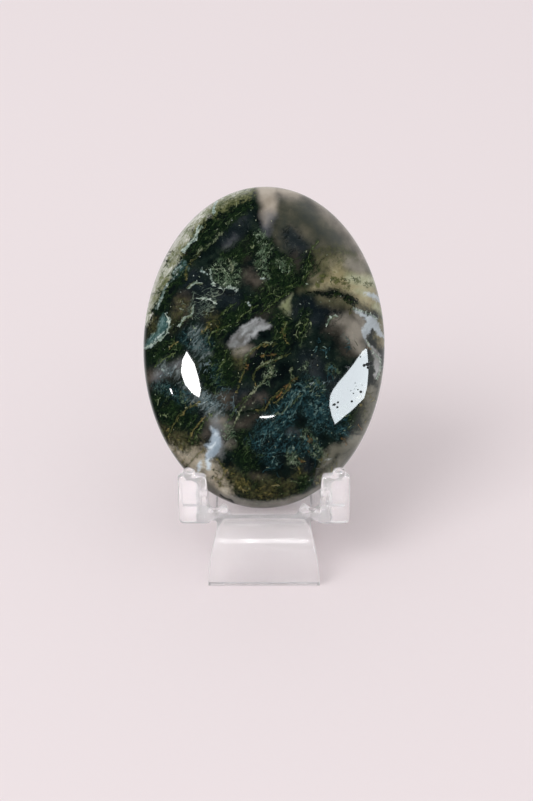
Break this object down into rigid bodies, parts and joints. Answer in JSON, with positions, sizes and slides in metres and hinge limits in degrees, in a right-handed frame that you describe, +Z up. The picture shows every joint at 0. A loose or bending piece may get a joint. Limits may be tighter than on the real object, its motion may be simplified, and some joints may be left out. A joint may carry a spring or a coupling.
{
  "type": "moss agate",
  "caption": "Polished oval palm stone of moss agate that leans back in a small clear plastic easel with an upright ear at each side.",
  "frame": {"origin": "middle of the footprint of the whole object, on the floor under the easel's feet", "axes": "+Z up, the stone's face and the easel's ears face -Y, +X to the right as seen from the front"},
  "size_m": [0.045, 0.042, 0.0631],
  "materials": {
    "moss_agate": "polished",
    "clear_plastic": "clear"
  },
  "bodies": {
    "root": {"palm_stone": "moss_agate", "clear_easel": "clear_plastic"}
  },
  "joints": []
}
